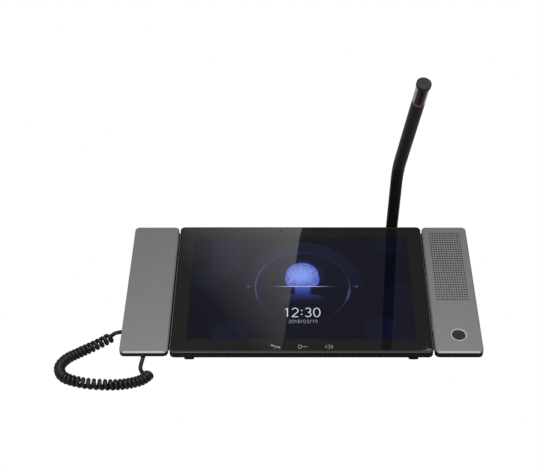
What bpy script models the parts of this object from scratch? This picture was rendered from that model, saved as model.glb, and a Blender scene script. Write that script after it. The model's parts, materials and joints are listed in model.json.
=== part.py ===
"""Desk IP phone: a tilted touch tablet between a handset on its cradle and a loudspeaker wing, with a
gooseneck microphone behind it and a curly cord in front.

The slab frame's origin is the middle of the tablet's front top edge. X runs to the right, Y up the
slope and Z out of the glass. Stand pieces are placed in world axes, with Y counted from the front edge.
"""

import math

import bmesh
import bpy
from mathutils import Matrix, Vector

MM = 0.001

# Driving dimensions, in millimetres and degrees.
TILT = math.radians(12.0)
DEPTH = 182.0            # front edge of the slabs to the rear wall of the stand
SLAB_LENGTH = 166.5
SLAB_THICK = 8.0
FRONT_CLEARANCE = 5.5    # desk to the lower front edge of the tablet
TABLET_HALF = 123.4
WING_GAP = 1.4           # tablet to handset, and tablet to loudspeaker wing
WING_WIDTH = 45.4
CORNER = 4.5
CHAMFER = 1.3            # bright edge of the two metal covers
COVER_THICK = 1.5
HANDSET_THICK = 6.5
FIT = 0.3                # running gap between neighbouring pieces
WALL = 2.0

DISPLAY_MIDDLE = 83.65
SENSOR_SPREAD = 20.0
SENSOR_Y = 160.2

GRILLE_COLUMNS = 13
GRILLE_X = (132.2, 162.2)
GRILLE_Y = (65.7, 156.4)
GRILLE_SLOT = 1.1
DRIVER_Y = 111.0
BUTTON = (148.6, 21.4)
BUTTON_RADIUS = 6.1
RING_RADIUS = 7.4

STAND_HALF = 108.0
STAND_FRONT = 16.0
STAND_FLOOR = 2.4
PLATE_THICK = 1.6
DECK_FRONT = 154.0
DECK_HEIGHT = 23.0
FOOT_HEIGHT = 2.1
ARM_Y = (15.5, 163.0)
ARM_THICK = 5.0
ARM_WALL = 1.2
ARM_BORE_Y = (66.0, 80.0)
CRADLE_X = (-160.0, -131.0)
POD_X = (131.0, 163.0)
EAR_POD = ((-163.0, 126.5), (-131.5, 160.5))
EAR_DEPTH = 12.8
HOOK_Y = 100.0
HOOK_TRAVEL = 3.0
JACK_Y = 37.8
JACK_Z = 8.0

MIC_FOOT = (93.30, 171.0)        # where the stem's axis meets the desk plane
MIC_LEAN = 0.041                 # sideways run for each unit of height
MIC_PIVOT_HEIGHT = 110.6
MIC_TIP = (111.45, 114.6, 233.6)  # middle of the cap's face
STEM_RADIUS = 6.0
STEM_TOP_RADIUS = 6.4
BEND_CLEARANCE = 7.0             # pivot to the end of each stem tube
HEAD_LENGTH = 26.6
CAP_RADIUS = 7.0

CORD_RADIUS = 1.8
COIL_RADIUS = 5.4
COIL_HEIGHT = COIL_RADIUS + 0.05
# Routes on the desk, in world axes with Y counted from the front edge.
BASE_LEAD_ROUTE = (
    (-168.9, 37.8, 8.0),
    (-172.5, 37.8, 7.7),
    (-176.5, 37.8, 6.8),
    (-180.0, 37.2, 6.0),
    (-182.0, 35.2, 5.6),
    (-182.9, 33.2, 5.5),
)
COIL_ROUTE = (
    (-184.2, 30.7),
    (-194.2, 20.7),
    (-208.6, 9.1),
    (-219.5, -1.0),
    (-223.6, -13.3),
    (-217.5, -26.5),
    (-201.0, -34.0),
    (-181.0, -37.2),
    (-164.0, -36.8),
    (-150.5, -33.2),
    (-143.4, -28.3),
    (-139.9, -22.6),
)
HANDSET_LEAD_ROUTE = (
    (-147.5, -3.75, 8.77),
    (-148.1, -5.8, 7.8),
    (-148.9, -8.4, 5.6),
    (-149.3, -11.0, 3.4),
    (-148.3, -14.0, 2.2),
    (-146.0, -17.0, 2.0),
    (-143.2, -18.5, 2.4),
    (-141.2, -18.9, 3.2),
)

WING_IN = TABLET_HALF + WING_GAP
WING_OUT = WING_IN + WING_WIDTH
WING_MIDDLE = (WING_IN + WING_OUT) / 2
DRIVER_X = (GRILLE_X[0] + GRILLE_X[1]) / 2
EDGE_HEIGHT = FRONT_CLEARANCE + SLAB_THICK * math.cos(TILT)


def clear_scene():
    for thing in list(bpy.data.objects):
        bpy.data.objects.remove(thing, do_unlink=True)


def new_collection(name):
    made = bpy.data.collections.new(name)
    bpy.context.scene.collection.children.link(made)
    return made


clear_scene()
PARTS = new_collection("desk_ip_phone")
CUTTERS = new_collection("cutters")


def material(name, colour, roughness, metallic=0.0, alpha=1.0):
    made = bpy.data.materials.new(name)
    made.use_nodes = True
    shader = made.node_tree.nodes["Principled BSDF"]
    shader.inputs["Base Color"].default_value = (*colour, 1.0)
    shader.inputs["Roughness"].default_value = roughness
    shader.inputs["Metallic"].default_value = metallic
    shader.inputs["Alpha"].default_value = alpha
    made.diffuse_color = (*colour, 1.0)
    return made


SILVER = material("anodised_grey", (0.24, 0.24, 0.24), 0.35, 0.9)
BLACK = material("black_shell", (0.012, 0.012, 0.013), 0.35)
DARK = material("stand_plastic", (0.02, 0.02, 0.021), 0.5)
GLASS = material("cover_glass", (0.02, 0.02, 0.022), 0.05)
CLEAR = material("clear_sleeve", (0.3, 0.3, 0.32), 0.05, alpha=0.4)
SCREEN = material("display", (0.012, 0.013, 0.03), 0.3)
BOARD = material("circuit_board", (0.02, 0.12, 0.05), 0.5)
RUBBER = material("rubber", (0.015, 0.015, 0.015), 0.8)
STEEL = material("steel", (0.5, 0.5, 0.5), 0.3, 1.0)
CORD = material("cord_jacket", (0.015, 0.015, 0.015), 0.45)
PAPER = material("speaker_cone", (0.03, 0.03, 0.03), 0.8)
RED = material("red_light", (0.6, 0.02, 0.02), 0.3)
RING = material("bright_ring", (0.7, 0.7, 0.7), 0.25, 1.0)
BRASS = material("contacts", (0.7, 0.5, 0.2), 0.35, 1.0)


def slope_height(y, offset):
    """World height above the desk of the slab frame's plane at `offset`, a distance y behind the front edge."""
    return EDGE_HEIGHT + y * math.tan(TILT) + offset / math.cos(TILT)


def slope_depth(along, offset):
    """World distance behind the front edge of a slab-frame point."""
    return along * math.cos(TILT) - offset * math.sin(TILT)


def empty(name, location, rotation=(0.0, 0.0, 0.0), parent=None):
    made = bpy.data.objects.new(name, None)
    made.location = Vector(location) * MM
    made.rotation_euler = rotation
    made.parent = parent
    made.empty_display_size = 10 * MM
    PARTS.objects.link(made)
    return made


def axis_empty(name, start, direction):
    """An empty at a world point whose Z axis looks along a direction."""
    made = empty(name, start)
    made.rotation_euler = Vector(direction).to_track_quat("Z", "X").to_euler()
    return made


WORLD = empty("stand_frame", (0.0, -DEPTH / 2, 0.0))
SLAB = empty("slab_frame", (0.0, -DEPTH / 2, EDGE_HEIGHT), (TILT, 0.0, 0.0))
HANDSET = empty("handset_frame", (-WING_MIDDLE, SLAB_LENGTH / 2, 0.0), parent=SLAB)
PLUNGER = empty("hook_frame", (-WING_MIDDLE, HOOK_Y, 0.0), parent=SLAB)
BUTTON_FRAME = empty("button_frame", (*BUTTON, 0.0), parent=SLAB)

mic_foot = Vector((MIC_FOOT[0], MIC_FOOT[1] - DEPTH / 2, 0.0))
lower_axis = Vector((MIC_LEAN, 0.0, 1.0))
mic_pivot = mic_foot + lower_axis * MIC_PIVOT_HEIGHT
mic_tip = Vector((MIC_TIP[0], MIC_TIP[1] - DEPTH / 2, MIC_TIP[2]))
PIVOT_RUN = (mic_pivot - mic_foot).length
TIP_RUN = (mic_tip - mic_pivot).length
STEM = axis_empty("mic_stem_frame", mic_foot, lower_axis)
HEAD = axis_empty("mic_head_frame", mic_pivot, mic_tip - mic_pivot)


def place(name, data, shade, parent, location=(0.0, 0.0, 0.0), rotation=(0.0, 0.0, 0.0)):
    """A new object in its parent's frame; without a material it is a cutter."""
    made = bpy.data.objects.new(name, data)
    made.parent = parent
    made.location = Vector(location) * MM
    made.rotation_euler = rotation
    if shade is None:
        CUTTERS.objects.link(made)
        made.hide_render = True
        made.display_type = "WIRE"
    else:
        data.materials.append(shade)
        PARTS.objects.link(made)
    return made


def mesh_of(name, bm, smooth=False):
    data = bpy.data.meshes.new(name)
    bmesh.ops.recalc_face_normals(bm, faces=bm.faces)
    bm.to_mesh(data)
    bm.free()
    if smooth:
        data.shade_smooth()
        data.set_sharp_from_angle(angle=math.radians(40))
    return data


def upright(edge):
    a, b = (v.co for v in edge.verts)
    return abs(a.x - b.x) < 1e-6 and abs(a.y - b.y) < 1e-6


def rim_edges(bm, level):
    """The outline edges of the flat face at this height."""
    return [
        e for e in bm.edges
        if all(abs(v.co.z - level) < 1e-6 for v in e.verts)
        and any(abs(f.normal.z) < 0.5 for f in e.link_faces)
    ]


def block(name, low, high, shade, parent, corner=0.0, top=0.0, bottom=0.0, steps=4, rim_steps=1):
    """A box between two corners, with rounded upright edges and bevelled top and bottom rims."""
    low, high = Vector(low), Vector(high)
    size = (high - low) * MM
    bm = bmesh.new()
    bmesh.ops.create_cube(bm, size=1.0, matrix=Matrix.Diagonal((*size, 1.0)))
    if corner:
        sides = [e for e in bm.edges if upright(e)]
        bmesh.ops.bevel(bm, geom=sides, offset=corner * MM, segments=steps, profile=0.5, affect="EDGES")
    for width, level in ((top, size.z / 2), (bottom, -size.z / 2)):
        if width:
            bm.normal_update()
            rim = rim_edges(bm, level)
            bmesh.ops.bevel(bm, geom=rim, offset=width * MM, segments=rim_steps, profile=0.5, affect="EDGES")
    return place(name, mesh_of(name, bm), shade, parent, (low + high) / 2)


def outline_body(name, x_range, outline, shade, corner=0.0):
    """A side outline of (y, height) points drawn across an X range, with rounded upright edges."""
    bm = bmesh.new()
    face = bm.faces.new([bm.verts.new((x_range[0] * MM, y * MM, z * MM)) for y, z in outline])
    grown = bmesh.ops.extrude_face_region(bm, geom=[face])
    moved = [v for v in grown["geom"] if isinstance(v, bmesh.types.BMVert)]
    bmesh.ops.translate(bm, verts=moved, vec=((x_range[1] - x_range[0]) * MM, 0.0, 0.0))
    if corner:
        sides = [e for e in bm.edges if upright(e)]
        bmesh.ops.bevel(bm, geom=sides, offset=corner * MM, segments=4, profile=0.5, affect="EDGES")
    return place(name, mesh_of(name, bm), shade, WORLD)


def rod(name, radius, z_range, shade, parent, at=(0.0, 0.0), end_radius=None, sides=24, edge=0.0):
    """A round bar along the parent's Z axis."""
    bm = bmesh.new()
    length = z_range[1] - z_range[0]
    far = radius if end_radius is None else end_radius
    bmesh.ops.create_cone(
        bm, cap_ends=True, segments=sides, radius1=radius * MM, radius2=far * MM, depth=length * MM
    )
    if edge:
        bm.normal_update()
        rim = rim_edges(bm, length * MM / 2)
        bmesh.ops.bevel(bm, geom=rim, offset=edge * MM, segments=2, profile=0.5, affect="EDGES")
    middle = (*at, sum(z_range) / 2)
    return place(name, mesh_of(name, bm, smooth=True), shade, parent, middle)


def lay_along_y(bar, middle):
    """Turns an upright bar so that it points to the front, with its middle at a point."""
    bar.rotation_euler = (math.radians(90), 0.0, 0.0)
    bar.location = Vector(middle) * MM


def turned(name, profile, shade, parent, location=(0.0, 0.0, 0.0), closed=False, steps=24):
    """A (radius, height) profile turned about the parent's Z axis, outer side from top to bottom."""
    data = bpy.data.meshes.new(name)
    count = len(profile)
    edges = [(i, (i + 1) % count) for i in range(count if closed else count - 1)]
    data.from_pydata([(r * MM, 0.0, z * MM) for r, z in profile], edges, [])
    made = place(name, data, shade, parent, location)
    screw = made.modifiers.new("turn", "SCREW")
    screw.steps = steps
    screw.render_steps = steps
    screw.use_merge_vertices = True
    screw.merge_threshold = 0.00001
    screw.use_smooth_shade = False
    return made


def combine(target, other, operation):
    if other.name not in CUTTERS.objects:
        raise ValueError(other.name)
    step = target.modifiers.new(operation.lower(), "BOOLEAN")
    step.operation = operation
    step.object = other
    return target


def cut(target, *others):
    for other in others:
        combine(target, other, "DIFFERENCE")
    return target


def join(target, *others):
    for other in others:
        combine(target, other, "UNION")
    return target


def route_points(route, spacing):
    """Even points along a smooth curve through hand-picked ones."""
    knots = [Vector(p) for p in route]
    knots = [2 * knots[0] - knots[1], *knots, 2 * knots[-1] - knots[-2]]
    fine = []
    for a, b, c, d in zip(knots, knots[1:], knots[2:], knots[3:]):
        for step in range(24):
            t = step / 24
            fine.append(
                0.5 * (2 * b + (c - a) * t + (2 * a - 5 * b + 4 * c - d) * t**2
                       + (3 * b - a - 3 * c + d) * t**3)
            )
    fine.append(knots[-2])
    runs = [0.0]
    for a, b in zip(fine, fine[1:]):
        runs.append(runs[-1] + (b - a).length)
    count = max(3, round(runs[-1] / spacing))
    points = []
    for i in range(count + 1):
        wanted = runs[-1] * i / count
        k = max(1, next((j for j, run in enumerate(runs) if run >= wanted - 1e-9), len(runs) - 1))
        part = (wanted - runs[k - 1]) / (runs[k] - runs[k - 1])
        points.append(fine[k - 1].lerp(fine[k], part))
    return points


def hose(name, route, radius, spacing, resolution):
    data = bpy.data.curves.new(name, "CURVE")
    data.dimensions = "3D"
    data.bevel_depth = radius * MM
    data.bevel_resolution = resolution
    data.use_fill_caps = True
    points = route_points(route, spacing)
    spline = data.splines.new("POLY")
    spline.points.add(len(points) - 1)
    for target, point in zip(spline.points, points):
        target.co = (*(point * MM), 1.0)
    return place(name, data, CORD, WORLD)


# Tablet -----------------------------------------------------------------------------------------

def tablet():
    half, length = TABLET_HALF, SLAB_LENGTH
    frame = block(
        "tablet_frame", (-half, 0, -SLAB_THICK), (half, length, 0), BLACK, SLAB,
        corner=CORNER, top=0.8, bottom=0.4,
    )
    inset = 1.1
    cut(
        frame,
        block("glass_pocket", (-half + inset, inset, -1.5), (half - inset, length - inset, 2), None, SLAB,
              corner=CORNER - inset),
        block("display_opening", (-113.5, 10.9, -9), (113.5, 156.4, 3), None, SLAB),
        block("cover_rebate", (-118.5, 5, -9), (118.5, length - 5, -5.7), None, SLAB),
        rod("sensor_pocket_left", 1.4, (-3.0, 0), None, SLAB, (-SENSOR_SPREAD, SENSOR_Y), sides=12),
        rod("sensor_pocket_right", 1.4, (-3.0, 0), None, SLAB, (SENSOR_SPREAD, SENSOR_Y), sides=12),
    )
    inset += FIT
    block("cover_glass", (-half + inset, inset, -1.2), (half - inset, length - inset, 0), GLASS, SLAB,
          corner=CORNER - inset, top=0.25)
    display_low = DISPLAY_MIDDLE - 71.0
    display_high = DISPLAY_MIDDLE + 71.0
    block("display_panel", (-112, display_low, -3.9), (112, display_high, -1.5), SCREEN, SLAB)
    rod("light_sensor", 1.1, (-2.7, -1.5), DARK, SLAB, (-SENSOR_SPREAD, SENSOR_Y), sides=12)
    rod("camera_lens", 1.1, (-2.7, -1.5), DARK, SLAB, (SENSOR_SPREAD, SENSOR_Y), sides=12)
    board = block("main_board", (-95, 30, -5.4), (95, 140, -4.2), BOARD, SLAB)
    for x in (-90, 90):
        for y in (35, 135):
            cut(board, rod(f"board_hole_{x}_{y}", 1.6, (-7, -3), None, SLAB, (x, y), sides=12))
    rear = block("rear_cover", (-118.2, 5.3, -SLAB_THICK), (118.2, length - 5.3, -6.0), DARK, SLAB, corner=2.0)
    for i in range(12):
        x = -77 + 14 * i
        cut(rear, block(f"vent_{i}", (x - 4, 153.6, -9), (x + 4, 155.4, -5), None, SLAB))


# Stand ------------------------------------------------------------------------------------------

def sloped_outline(front, back, offset, floor):
    """Side outline of a wedge whose top lies on the slab frame's plane at `offset`."""
    return [
        (front, floor),
        (front, slope_height(front, offset)),
        (back, slope_height(back, offset)),
        (back, floor),
    ]


def stand():
    top = -SLAB_THICK - FIT
    inner = top - WALL
    step = DECK_FRONT - 4
    shell = outline_body(
        "base_shell", (-STAND_HALF, STAND_HALF),
        [(STAND_FRONT, STAND_FLOOR), (STAND_FRONT, slope_height(STAND_FRONT, top)),
         (step, slope_height(step, top)), (DECK_FRONT, DECK_HEIGHT), (DEPTH - 1.5, DECK_HEIGHT),
         (DEPTH, DECK_HEIGHT - 1.5), (DEPTH, STAND_FLOOR)],
        DARK, corner=5.0,
    )
    half = STAND_HALF - WALL
    hollow = outline_body(
        "stand_hollow", (-half, half),
        [(STAND_FRONT + WALL, 0), (STAND_FRONT + WALL, slope_height(STAND_FRONT + WALL, inner)),
         (step - WALL, slope_height(step - WALL, inner)), (DECK_FRONT - WALL, DECK_HEIGHT - WALL),
         (DEPTH - WALL, DECK_HEIGHT - WALL), (DEPTH - WALL, 0)],
        None, corner=3.0,
    )
    cut(shell, hollow)
    plate_low = (-half + 0.4, STAND_FRONT + WALL + 0.4, STAND_FLOOR)
    plate_high = (half - 0.4, DEPTH - WALL - 0.4, STAND_FLOOR + PLATE_THICK)
    plate = block("base_plate", plate_low, plate_high, DARK, WORLD, corner=3.0)
    number = 1
    for x in (-95, 95):
        for y in (32, 150):
            boss_top = slope_height(y, inner) + 1.0
            join(shell, rod(f"boss_{number}", 3.6, (4.4, boss_top), None, WORLD, (x, y), sides=12))
            number += 1
    number = 1
    for x in (-95, 95):
        for y in (32, 150):
            cut(shell, rod(f"pilot_{number}", 1.8, (3.0, 10.2), None, WORLD, (x, y), sides=12))
            cut(plate, rod(f"plate_hole_{number}", 3.3, (0.0, 6.0), None, WORLD, (x, y), sides=16))
            screw_profile = [(0, 9.8), (1.4, 9.8), (1.4, 4.4), (2.9, 4.0), (2.9, 2.7), (0, 2.7)]
            turned(f"base_screw_{number}", screw_profile, STEEL, WORLD, (x, y, 0), steps=16)
            number += 1
    rear_ports(shell)
    feet()


def rear_ports(shell):
    """Network and power sockets, each a housing behind a window in the rear wall."""
    wall = DEPTH - FIT
    cut(shell, block("network_window", (29.6, DEPTH - 6, 4.9), (46.4, DEPTH + 4, 19.1), None, WORLD))
    jack = block("ethernet_jack", (30, DEPTH - 20, 5.3), (46, wall, 18.7), DARK, WORLD)
    cut(jack, block("network_cavity", (32, DEPTH - 14, 7.2), (44, DEPTH + 4, 15.2), None, WORLD))
    cut(shell, block("power_window", (-46.4, DEPTH - 6, 5.9), (-35.6, DEPTH + 4, 16.1), None, WORLD))
    power = block("power_jack", (-46, DEPTH - 14, 6.3), (-36, wall, 15.7), DARK, WORLD)
    barrel = rod("power_cavity", 3.0, (-6.5, 6.5), None, WORLD, sides=16)
    pin = rod("power_pin", 0.9, (-5.25, 5.25), None, WORLD, sides=10)
    lay_along_y(barrel, (-41.0, DEPTH - 4.5, 11.0))
    lay_along_y(pin, (-41.0, DEPTH - 7.25, 11.0))
    cut(power, barrel)
    join(power, pin)


def feet():
    for side, x in (("left", -105.6), ("right", 105.6)):
        outline = sloped_outline(5.8, 14.0, -SLAB_THICK - FIT, 0.0)
        outline_body(f"foot_front_{side}", (x - 4.6, x + 4.6), outline, RUBBER, corner=1.5)
        rod(f"foot_rear_{side}", 7.0, (0, FOOT_HEIGHT), RUBBER, WORLD, (x * 0.85, 168.0), sides=20)


def foot_strip(name, x):
    block(name, (x - 5, 28.0, 0), (x + 5, 146.0, FOOT_HEIGHT), RUBBER, WORLD, corner=4.0)


def bridges():
    """Sloped arms under the gaps between the slabs: they carry the two wings, and cables run through them."""
    top = -SLAB_THICK - FIT

    def outline(front, rear, high, low):
        return [(front, slope_height(front, low)), (front, slope_height(front, high)),
                (rear, slope_height(rear, high)), (rear, slope_height(rear, low))]

    for side, x_range in (
        ("left", (CRADLE_X[1] + FIT, -STAND_HALF - FIT)),
        ("right", (STAND_HALF + FIT, POD_X[0] - FIT)),
    ):
        arm = outline_body(f"bridge_{side}", x_range, outline(*ARM_Y, top, top - ARM_THICK), DARK)
        bore = outline(*ARM_BORE_Y, top - ARM_WALL, top - ARM_THICK + ARM_WALL)
        cut(arm, outline_body(f"arm_bore_{side}", (x_range[0] - 5, x_range[1] + 5), bore, None))


# Handset and cradle -----------------------------------------------------------------------------

def cradle():
    top = -HANDSET_THICK - FIT
    low = -EAR_DEPTH - FIT
    shelf = EAR_POD[0][1] - 0.8
    rear = SLAB_LENGTH - 3.5
    floor = STAND_FLOOR

    def outline(gap, base):
        y0, step, y1 = STAND_FRONT + gap, slope_depth(shelf, top) - gap, slope_depth(rear, low) - gap
        return [
            (y0, base), (y0, slope_height(y0, top - gap)), (step, slope_height(step, top - gap)),
            (step + 1.5, slope_height(step + 1.5, low - gap)), (y1, slope_height(y1, low - gap)), (y1, base),
        ]

    shell = outline_body("cradle_shell", CRADLE_X, outline(0.0, floor), DARK, corner=4.0)
    inside = (CRADLE_X[0] + WALL, CRADLE_X[1] - WALL)
    cut(shell, outline_body("cradle_hollow", inside, outline(WALL, 0.0), None, corner=2.5))
    plate = block(
        "cradle_plate", (inside[0] + 0.4, STAND_FRONT + WALL + 0.4, floor),
        (inside[1] - 0.4, slope_depth(rear, low) - WALL - 0.4, floor + PLATE_THICK), DARK, WORLD, corner=2.5,
    )
    post_y = slope_depth(HOOK_Y, -25.0)
    join(plate, block("switch_post", (-WING_MIDDLE - 3, post_y - 3, 3.0), (-WING_MIDDLE + 3, post_y + 3, 8.6),
                      None, WORLD))
    foot_strip("cradle_foot", sum(CRADLE_X) / 2)

    cut(shell, block("hook_window", (-4.6, -2.8, -12), (4.6, 2.8, -4), None, PLUNGER))
    plunger = block("hook_plunger", (-4.2, -2.4, -13.7), (4.2, 2.4, top), BLACK, PLUNGER, top=0.8)
    join(plunger, block("hook_flange", (-5.6, -4.0, -13.7), (5.6, 4.0, -12.0), None, PLUNGER))
    turned("hook_spring", [(3.0, -14.0), (3.0, -19.0), (2.2, -19.0), (2.2, -14.0)], STEEL, PLUNGER,
           closed=True, steps=16)
    block("hook_switch", (-6.0, -3.2, -24.6), (6.0, 3.2, -19.3), BLACK, PLUNGER)

    cut(shell, block("jack_window", (CRADLE_X[0] - 2, JACK_Y - 4.7, JACK_Z - 3.6),
                     (CRADLE_X[0] + 4, JACK_Y + 4.7, JACK_Z + 3.6), None, WORLD))
    jack = block("handset_jack", (CRADLE_X[0] + 0.3, JACK_Y - 4.4, JACK_Z - 3.3),
                 (CRADLE_X[0] + 14, JACK_Y + 4.4, JACK_Z + 3.3), DARK, WORLD)
    cut(jack, block("jack_cavity", (CRADLE_X[0] - 2, JACK_Y - 3.7, JACK_Z - 2.7),
                    (CRADLE_X[0] + 11, JACK_Y + 3.7, JACK_Z + 2.7), None, WORLD))


def ear_skirt(name, shade, spread, depth):
    """Ring of wall below the handset's cover at the ear end; `spread` grows it to a clearance cutter."""
    thick = 1.4
    outer = block(
        name, (-WING_WIDTH / 2 - spread, 50.0 - spread, -depth),
        (WING_WIDTH / 2 + spread, SLAB_LENGTH / 2 + spread, -1.0),
        shade, HANDSET, corner=CORNER,
    )
    inside = WING_WIDTH / 2 - thick - (FIT if spread else 0)
    y_high = SLAB_LENGTH / 2 - thick - (FIT if spread else 0)
    return cut(outer, block(name + "_inside", (-inside, 40.0, -9), (inside, y_high, -COVER_THICK), None, HANDSET,
                            corner=CORNER - thick))


def handset():
    half_width, half_length = WING_WIDTH / 2, SLAB_LENGTH / 2
    cover = block(
        "handset_cover", (-half_width, -half_length, -COVER_THICK), (half_width, half_length, 0),
        SILVER, HANDSET, corner=CORNER, top=CHAMFER,
    )
    join(cover, ear_skirt("ear_skirt", None, 0.0, 4.8))
    shell = block(
        "handset_shell", (-half_width, -half_length, -HANDSET_THICK),
        (half_width, half_length, -COVER_THICK - FIT), BLACK, HANDSET, corner=CORNER, bottom=0.4,
    )
    pod_low = [EAR_POD[0][0] + WING_MIDDLE, EAR_POD[0][1] - half_length]
    pod_high = [EAR_POD[1][0] + WING_MIDDLE, EAR_POD[1][1] - half_length]
    ear_y = (pod_low[1] + pod_high[1]) / 2
    wall = 1.5
    join(shell, block("ear_pod", (*pod_low, -EAR_DEPTH), (*pod_high, -HANDSET_THICK + 1), None, HANDSET,
                      corner=7.0, bottom=1.5))
    cut(
        shell,
        ear_skirt("skirt_room", None, 1.0, 5.1),
        block("handset_hollow", (-half_width + 3.3, -half_length + 2.2, -HANDSET_THICK + wall),
              (half_width - 3.3, half_length - 3.4, 0), None, HANDSET, corner=2.5),
        block("pod_hollow", (pod_low[0] + wall, pod_low[1] + wall, -EAR_DEPTH + wall),
              (pod_high[0] - wall, pod_high[1] - wall, 0), None, HANDSET, corner=5.5),
        rod("ear_window", 9.3, (-15, -8), None, HANDSET, (0, ear_y), sides=32),
        rod("mouth_hole", 1.2, (-8, -3), None, HANDSET, (0, -half_length + 11), sides=12),
    )
    grille = rod("ear_grille", 9.0, (-EAR_DEPTH, -EAR_DEPTH + 1.0), DARK, HANDSET, (0, ear_y), sides=32)
    for i in range(7):
        turn = math.radians(60) * i
        reach = 0.0 if i == 6 else 4.2
        spot = (reach * math.cos(turn), ear_y + reach * math.sin(turn))
        cut(grille, rod(f"ear_hole_{i}", 0.9, (-15, -9), None, HANDSET, spot, sides=10))
    rod("ear_capsule", 12.0, (-11.0, -6.6), STEEL, HANDSET, (0, ear_y), sides=28)
    rod("mouth_capsule", 4.0, (-4.0, -2.1), STEEL, HANDSET, (0, -half_length + 11), sides=20)
    block("handset_weight", (-12, -35, -4.0), (12, 25, -2.1), STEEL, HANDSET)
    for number, y in ((1, -half_length + 24), (2, pod_low[1] - 8)):
        cut(
            shell,
            rod(f"head_room_{number}", 2.7, (-7, -5.4), None, HANDSET, (0, y), sides=16),
            rod(f"shank_room_{number}", 1.6, (-7, -3), None, HANDSET, (0, y), sides=12),
        )
        screw_profile = [(0, -2.2), (1.2, -2.2), (1.2, -5.45), (2.3, -5.45), (2.3, -6.2), (0, -6.2)]
        turned(f"handset_screw_{number}", screw_profile, STEEL, HANDSET, (0, y, 0), steps=16)
    grommet = rod("cord_grommet", 2.3, (0.0, 3.2), RUBBER, HANDSET, end_radius=2.0, sides=16)
    lay_along_y(grommet, (0.0, -half_length - 1.6, -3.8))


def cord():
    block("cord_plug", (-168.6, JACK_Y - 3.4, JACK_Z - 2.4), (CRADLE_X[0] + 10.7, JACK_Y + 3.4, JACK_Z + 2.4),
          CLEAR, WORLD, corner=0.8, steps=2)
    hose("cord_lead_base", BASE_LEAD_ROUTE, CORD_RADIUS, 3.0, 2)
    hose("cord_coil", [(x, y, COIL_HEIGHT) for x, y in COIL_ROUTE], COIL_RADIUS, 7.0, 3)
    hose("cord_lead_handset", HANDSET_LEAD_ROUTE, CORD_RADIUS, 3.0, 2)


# Loudspeaker wing -------------------------------------------------------------------------------

def speaker_wing():
    cover = block(
        "speaker_cover", (WING_IN, 0, -COVER_THICK), (WING_OUT, SLAB_LENGTH, 0), SILVER, SLAB,
        corner=CORNER, top=CHAMFER,
    )
    join(cover, block("inner_skirt", (WING_IN, 5.0, -6.2), (WING_IN + 1.3, SLAB_LENGTH - 5.0, -1.0), None, SLAB))
    cut(
        cover,
        block("side_slot", (WING_IN - 2, 29.0, -4.4), (WING_IN + 3, 102.0, -2.8), None, SLAB),
        rod("button_opening", RING_RADIUS + FIT, (-4, 2), None, SLAB, BUTTON, sides=32),
    )
    pitch = (GRILLE_X[1] - GRILLE_X[0]) / (GRILLE_COLUMNS - 1)
    for i in range(GRILLE_COLUMNS):
        x = GRILLE_X[0] + pitch * i
        cut(cover, block(f"grille_slot_{i}", (x - GRILLE_SLOT / 2, GRILLE_Y[0], -3),
                         (x + GRILLE_SLOT / 2, GRILLE_Y[1], 2), None, SLAB))
    tray = block(
        "speaker_shell", (WING_IN, 0, -SLAB_THICK), (WING_OUT, SLAB_LENGTH, -COVER_THICK - FIT),
        BLACK, SLAB, corner=CORNER, bottom=0.4,
    )
    rear = slope_depth(SLAB_LENGTH - 5, -SLAB_THICK)
    inside = (POD_X[0] + WALL, POD_X[1] - WALL)
    join(tray, outline_body("speaker_pod", POD_X, sloped_outline(STAND_FRONT, rear, -7.0, STAND_FLOOR), None,
                            corner=4.0))
    cut(
        tray,
        block("skirt_clearance", (WING_IN - 2, 4.5, -6.5), (WING_IN + 1.6, SLAB_LENGTH - 4.5, 0), None, SLAB),
        block("tray_hollow", (WING_IN + 3.2, 2.2, -6.0), (WING_OUT - 2.2, SLAB_LENGTH - 2.2, 0), None, SLAB,
              corner=2.5),
        outline_body("pod_room", inside, sloped_outline(STAND_FRONT + WALL, rear - WALL, -SLAB_THICK, 0.0),
                     None, corner=2.5),
        rod("tray_window", 13.8, (-12, -4), None, SLAB, (DRIVER_X, DRIVER_Y), sides=32),
    )
    block("pod_plate", (inside[0] + 0.4, STAND_FRONT + WALL + 0.4, STAND_FLOOR),
          (inside[1] - 0.4, rear - WALL - 0.4, STAND_FLOOR + PLATE_THICK), DARK, WORLD, corner=2.5)
    foot_strip("pod_foot", sum(POD_X) / 2)
    driver()
    call_button()


def driver():
    """Loudspeaker under the grille: basket, paper cone and magnet on one axis."""
    at = (DRIVER_X, DRIVER_Y, 0.0)
    basket = [(16.5, -4.6), (16.5, -5.7), (13.4, -5.7), (12.2, -8.2), (9.0, -13.6), (6.0, -13.6),
              (6.0, -12.8), (8.5, -12.8), (11.4, -7.6), (12.6, -4.6)]
    turned("speaker_basket", basket, STEEL, SLAB, at, closed=True, steps=28)
    cone = [(0, -7.8), (4.5, -8.6), (5.5, -9.2), (11.8, -4.0), (12.2, -4.0), (12.2, -4.3), (11.6, -4.9),
            (5.7, -10.0), (0, -10.0)]
    turned("speaker_cone", cone, PAPER, SLAB, at, steps=28)
    rod("speaker_magnet", 11.0, (-20.0, -13.9), STEEL, SLAB, (DRIVER_X, DRIVER_Y), sides=28)
    block("speaker_cloth", (GRILLE_X[0] - 2.5, GRILLE_Y[0] - 2.5, -2.3), (GRILLE_X[1] + 2.5, GRILLE_Y[1] + 2.5, -1.8),
          PAPER, SLAB)


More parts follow.
